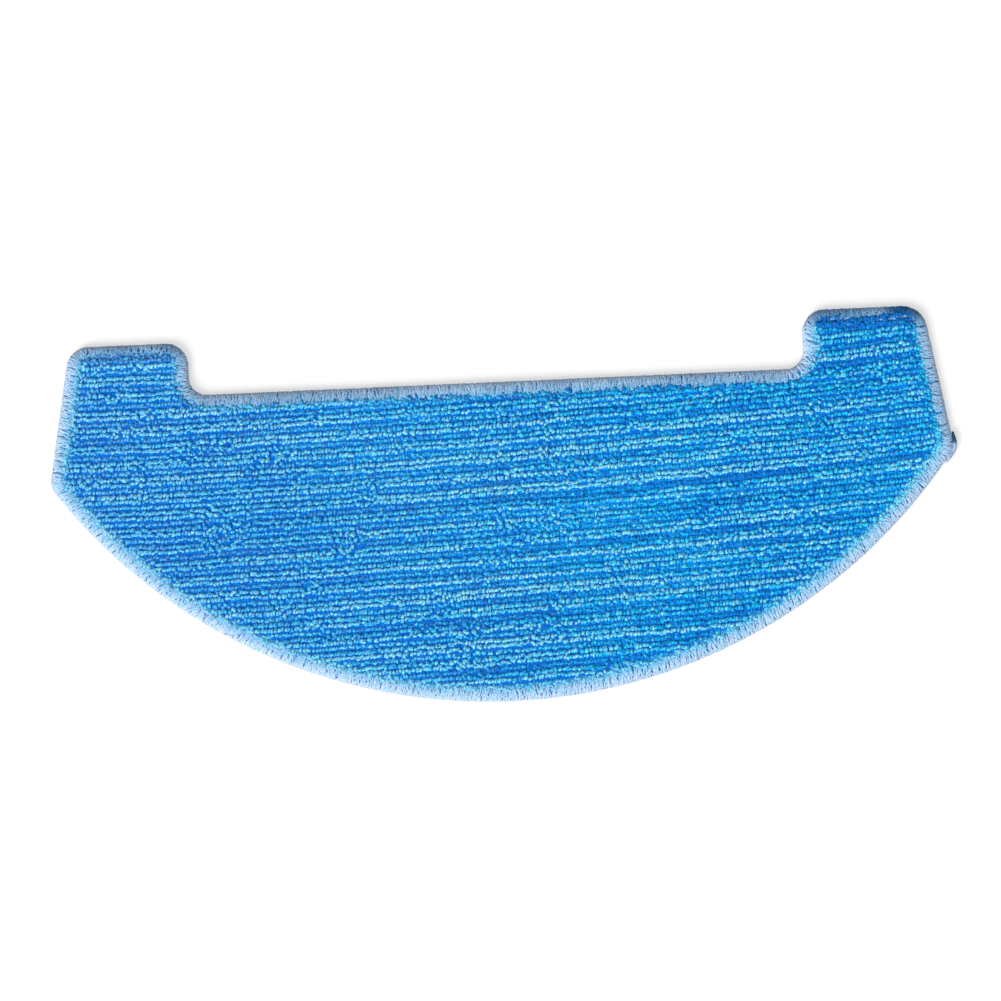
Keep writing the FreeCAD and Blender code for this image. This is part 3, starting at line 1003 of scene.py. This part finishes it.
class MOPPAD_OT_looper_threads(bpy.types.Operator):
    """Make the strands of the upper and the lower looper, which cross the hem and meet at the rim"""

    bl_idname = "mop_pad.looper_threads"
    bl_label = "Looper threads"

    def execute(self, context):
        pad = context.scene.mop_pad
        seam, colours = pad.seam, pad.colours
        material = yarn_material(
            "edging_thread", colours.thread_blue, colours.thread_pale, colours.thread_rim,
            colours.thread_shade, 0.9, crease_shade=(0.5, 0.66, 0.78), fibre=0.12, sheen=0.15)
        flat_rise = min(seam.crest_rise, rim_height - seam.strand_radius)
        self.cross_hem(pad, "upper_looper", 1, seam.strands, seam.crest_rise, material)
        self.cross_hem(pad, "lower_looper", -1, seam.lower_strands, flat_rise, material)
        return {"FINISHED"}

    def cross_hem(self, pad, looper, side, strands, rise, material):
        """One side's strands. side is 1 above the hem and -1 below it, and rise the height of its crest."""
        seam = pad.seam
        rng = np.random.default_rng(seam.seed + side)
        rim = Rim(pad.outline)
        stitches = round(rim.length / seam.stitch_pitch)
        pitch = rim.length / stitches
        count = stitches * strands
        stitch, leg = np.divmod(np.arange(count), strands)
        spread = (leg - (strands - 1) / 2) / strands
        at_rim = (stitch + 0.5 + spread + rng.normal(0, 0.05, count)) * pitch
        leans_back = rng.random(count) < 0.35
        slant = np.where(leans_back, -0.3, 0.45)
        at_needle = at_rim + (slant - 0.22 * spread + rng.normal(0, 0.08, count)) * pitch
        radius = seam.strand_radius * (1 + rng.normal(0, 0.14, count))

        outer_turn = np.radians([0, 18, 38, 62, 90])
        inner_share = np.array([0.3, 0.6, 0.88, 1.0])
        end = seam.width + (0.25 + rng.normal(0, 0.15, count)) * MM
        outer = seam.crest - (seam.crest - radius)[:, None] * np.cos(outer_turn)
        inner = seam.crest + (end - seam.crest)[:, None] * inner_share
        middle, into = rim.walk(at_needle, np.full(count, seam.width))
        pull = seam_pull(pad, middle[:, 0], middle[:, 1], into)
        inset = np.concatenate([outer, inner], axis=1) * (1 - 0.43 * pull)[:, None]
        rings = inset.shape[1]
        fall = np.concatenate([np.sin(outer_turn), [1.0, 0.96, 0.84, 0.6]])
        share = (inset - inset[:, :1]) / (inset[:, -1:] - inset[:, :1])
        travel = at_rim[:, None] + (at_needle - at_rim)[:, None] * share ** 1.3
        travel = travel + rng.normal(0, 0.19, (count, rings)) * MM
        spots, inward = rim.walk(travel, inset)
        weave = rng.normal(0, 0.06, (count, rings)) * MM * fall
        groove = leg == 0  # the needle hole draws each stitch's first strand in
        height = rim_height + side * (fall * rise + weave - 0.04 * MM * groove[:, None] * fall)
        if side < 0:
            height = np.maximum(height, 1.3 * radius[:, None])
        paths = lifted(pad, np.concatenate([spots, height[..., None]], axis=-1))
        _, normals = rim.walk(at_rim)
        across = np.stack([-normals[:, 1], normals[:, 0], np.zeros(count)], axis=-1)
        radii = radius[:, None] * (1 + rng.normal(0, 0.16, (count, rings)))
        radii[:, -1] *= 0.6
        # The tone falls from the rim to blue at the needle line; that blue paints the light reflected from the
        # blue pile.
        tone = 0.72 - 0.75 * share ** 1.2
        tone = tone + rng.normal(0, 0.08, count)[:, None] + rng.normal(0, 0.08, (count, rings))
        # The drawn-in strand is darker near the rim: painted shade in its groove.
        tone = tone - 0.18 * groove[:, None] * (1 - share)
        rear_rim_shade = 0.28 * np.clip(-into @ unit(np.array([0.5, 1.0])), 0, 1)  # painted shade on the rims that face away from the lamp, to the rear
        patch = drift(middle[:, 0] / (9 * MM) + 12, middle[:, 1] / (9 * MM) + 12, 31)
        # The cast paints shade on the strands: over the ears' rear edges where the seam is pulled, and on the
        # rims that face away from the lamp, in patches.
        cast = np.maximum(pull * (0.85 + 0.5 * patch), rear_rim_shade * (1 + 0.5 * patch))
        yarn_piece(
            looper + "_strands", paths, across, radii, 5, np.clip(tone, 0, 1), cast, material,
            [looper + "_thread"])


class MOPPAD_OT_needle_thread(bpy.types.Operator):
    """Make the needle thread's straight stitches along the inner edge of the seam"""

    bl_idname = "mop_pad.needle_thread"
    bl_label = "Needle thread"

    def execute(self, context):
        pad = context.scene.mop_pad
        seam, colours = pad.seam, pad.colours
        rng = np.random.default_rng(seam.seed + 2)
        rim = Rim(pad.outline)
        stitches = round(rim.length / seam.stitch_pitch)
        pitch = rim.length / stitches
        share = np.array([0.04, 0.1, 0.3, 0.5, 0.7, 0.9, 0.96])
        travel = (np.arange(stitches)[:, None] + share) * pitch
        line = seam.width + 0.35 * MM + rng.normal(0, 0.05, (stitches, 1)) * MM
        spots, inward = rim.walk(travel, np.broadcast_to(line, travel.shape))
        arch = np.array([-0.3, 0.5, 0.9, 1.0, 0.9, 0.5, -0.3])
        rise = needle_top - ground_top - seam.needle_radius
        height = terry_top(pad, line) + arch * rise
        paths = lifted(pad, np.concatenate([spots, height[..., None]], axis=-1))
        middle = len(share) // 2
        across = np.pad(inward[:, middle], ((0, 0), (0, 1)))
        radii = np.full(travel.shape, seam.needle_radius) * (1 + rng.normal(0, 0.05, travel.shape))
        # The needle thread is dyed in the pile's blues and kept deep, which also paints the shade along the
        # seam's inner edge.
        material = yarn_material(
            "needle_yarn", colours.pile_deep, colours.pile_blue, colours.thread_blue, colours.pile_blue,
            0.4, crease_shade=(0.4, 0.6, 0.7), fibre=0.25, sheen=0.15)
        yarn_piece(
            "needle_stitches", paths, across, radii, 6, np.clip(0.3 + rng.normal(0, 0.15, stitches), 0, 1),
            rng.uniform(0, 1, stitches), material, ["needle_thread"])
        return {"FINISHED"}


class MOPPAD_OT_thread_tail(bpy.types.Operator):
    """Make the end of the stitch chain, laid round the right side corner"""

    bl_idname = "mop_pad.thread_tail"
    bl_label = "Thread tail"

    def execute(self, context):
        pad = context.scene.mop_pad
        colours = pad.colours
        rim = Rim(pad.outline)
        right_corner = rim.parts[-1]["length"]
        middle = rim.length - right_corner / 2 - 0.3 * MM
        half_length = 5.0 * MM
        plies = 5
        turns = np.linspace(-1, 1, 25)
        fullness = 1 - 0.6 * turns ** 2
        strands = []
        for ply in range(plies):
            angle = 2 * math.pi * (ply / plies + turns * 1.1)
            outward = 0.42 * MM + 0.34 * MM * np.cos(angle) * fullness
            spots, inward = rim.walk(middle + turns * half_length, -outward)
            height = rim_height + (0.2 + 0.5 * np.sin(angle)) * MM * fullness
            strands.append(np.concatenate([spots, height[:, None]], axis=-1))
        paths = lifted(pad, np.array(strands))
        radii = np.tile(0.4 * MM * (1 - 0.5 * turns ** 2), (plies, 1))
        across = np.tile([0.0, 0.0, 1.0], (plies, 1))
        material = yarn_material(
            "tail_thread", colours.tail_shadow, colours.thread_pale, colours.thread_rim, colours.thread_shade,
            0.5, crease_shade=(0.4, 0.55, 0.62), fibre=0.25, sheen=0.15)
        # Painted shadow over the tail's upper end, where it meets the border.
        knot = np.clip((turns - 0.1) / 0.35, 0, 1)
        tone = np.array([0.75, 0.9, 0.8, 0.7, 0.85])[:, None] - 0.9 * knot
        # Each ply takes a different share of the thread's painted shade colour.
        yarn_piece(
            "thread_tail_strands", paths, across, radii, 8, np.clip(tone, 0, 1), np.linspace(0, 0.8, plies),
            material, ["thread_tail"])
        return {"FINISHED"}


class MOPPAD_PT_panel(bpy.types.Panel):
    """Lists the pad's pieces in the order in which they are made"""

    bl_idname = "MOPPAD_PT_panel"
    bl_label = "Mop Pad"
    bl_space_type = "VIEW_3D"
    bl_region_type = "UI"
    bl_category = "Mop Pad"

    def draw(self, context):
        pad = context.scene.mop_pad
        for group in (pad.outline, pad.cloth, pad.pile, pad.seam, pad.colours, pad.studio):
            box = self.layout.box()
            for name in group.__annotations__:
                box.prop(group, name)
        for operator in OPERATORS:
            self.layout.operator(operator.bl_idname)


OPERATORS = (
    MOPPAD_OT_studio,
    MOPPAD_OT_backing,
    MOPPAD_OT_terry_ground,
    MOPPAD_OT_pile,
    MOPPAD_OT_looper_threads,
    MOPPAD_OT_needle_thread,
    MOPPAD_OT_thread_tail,
)
CLASSES = (
    PadOutline, ClothSizes, PileSizes, SeamSizes, PadColours, StudioSettings, MopPad,
    *OPERATORS, MOPPAD_PT_panel)


def register():
    for item in CLASSES:
        bpy.utils.register_class(item)
    bpy.types.Scene.mop_pad = PointerProperty(type=MopPad, name="Mop pad", description="The pad's settings")


def unregister():
    del bpy.types.Scene.mop_pad
    for item in reversed(CLASSES):
        bpy.utils.unregister_class(item)


def cut_size(pad):
    """Width, depth and area that both cloths are cut to: the rim's, less the cut inset."""
    rim = Rim(pad.outline)
    count = 4000
    points, _ = rim.walk(np.arange(count) * rim.length / count, np.full(count, pad.cloth.cut_inset))
    after = np.roll(points, -1, axis=0)
    area = abs((points[:, 0] * after[:, 1] - after[:, 0] * points[:, 1]).sum()) / 2
    width, depth = points.max(0) - points.min(0)
    return float(width), float(depth), float(area)


def declare_sheets(pad):
    """Both cloths are cut flat to one outline and lie on each other."""
    width, depth, area = cut_size(pad)


def main():
    register()
    bpy.ops.mop_pad.studio()
    bpy.ops.mop_pad.backing()
    bpy.ops.mop_pad.terry_ground()
    bpy.ops.mop_pad.pile()
    bpy.ops.mop_pad.looper_threads()
    bpy.ops.mop_pad.needle_thread()
    bpy.ops.mop_pad.thread_tail()
    declare_sheets(bpy.context.scene.mop_pad)


if __name__ == "__main__":
    main()
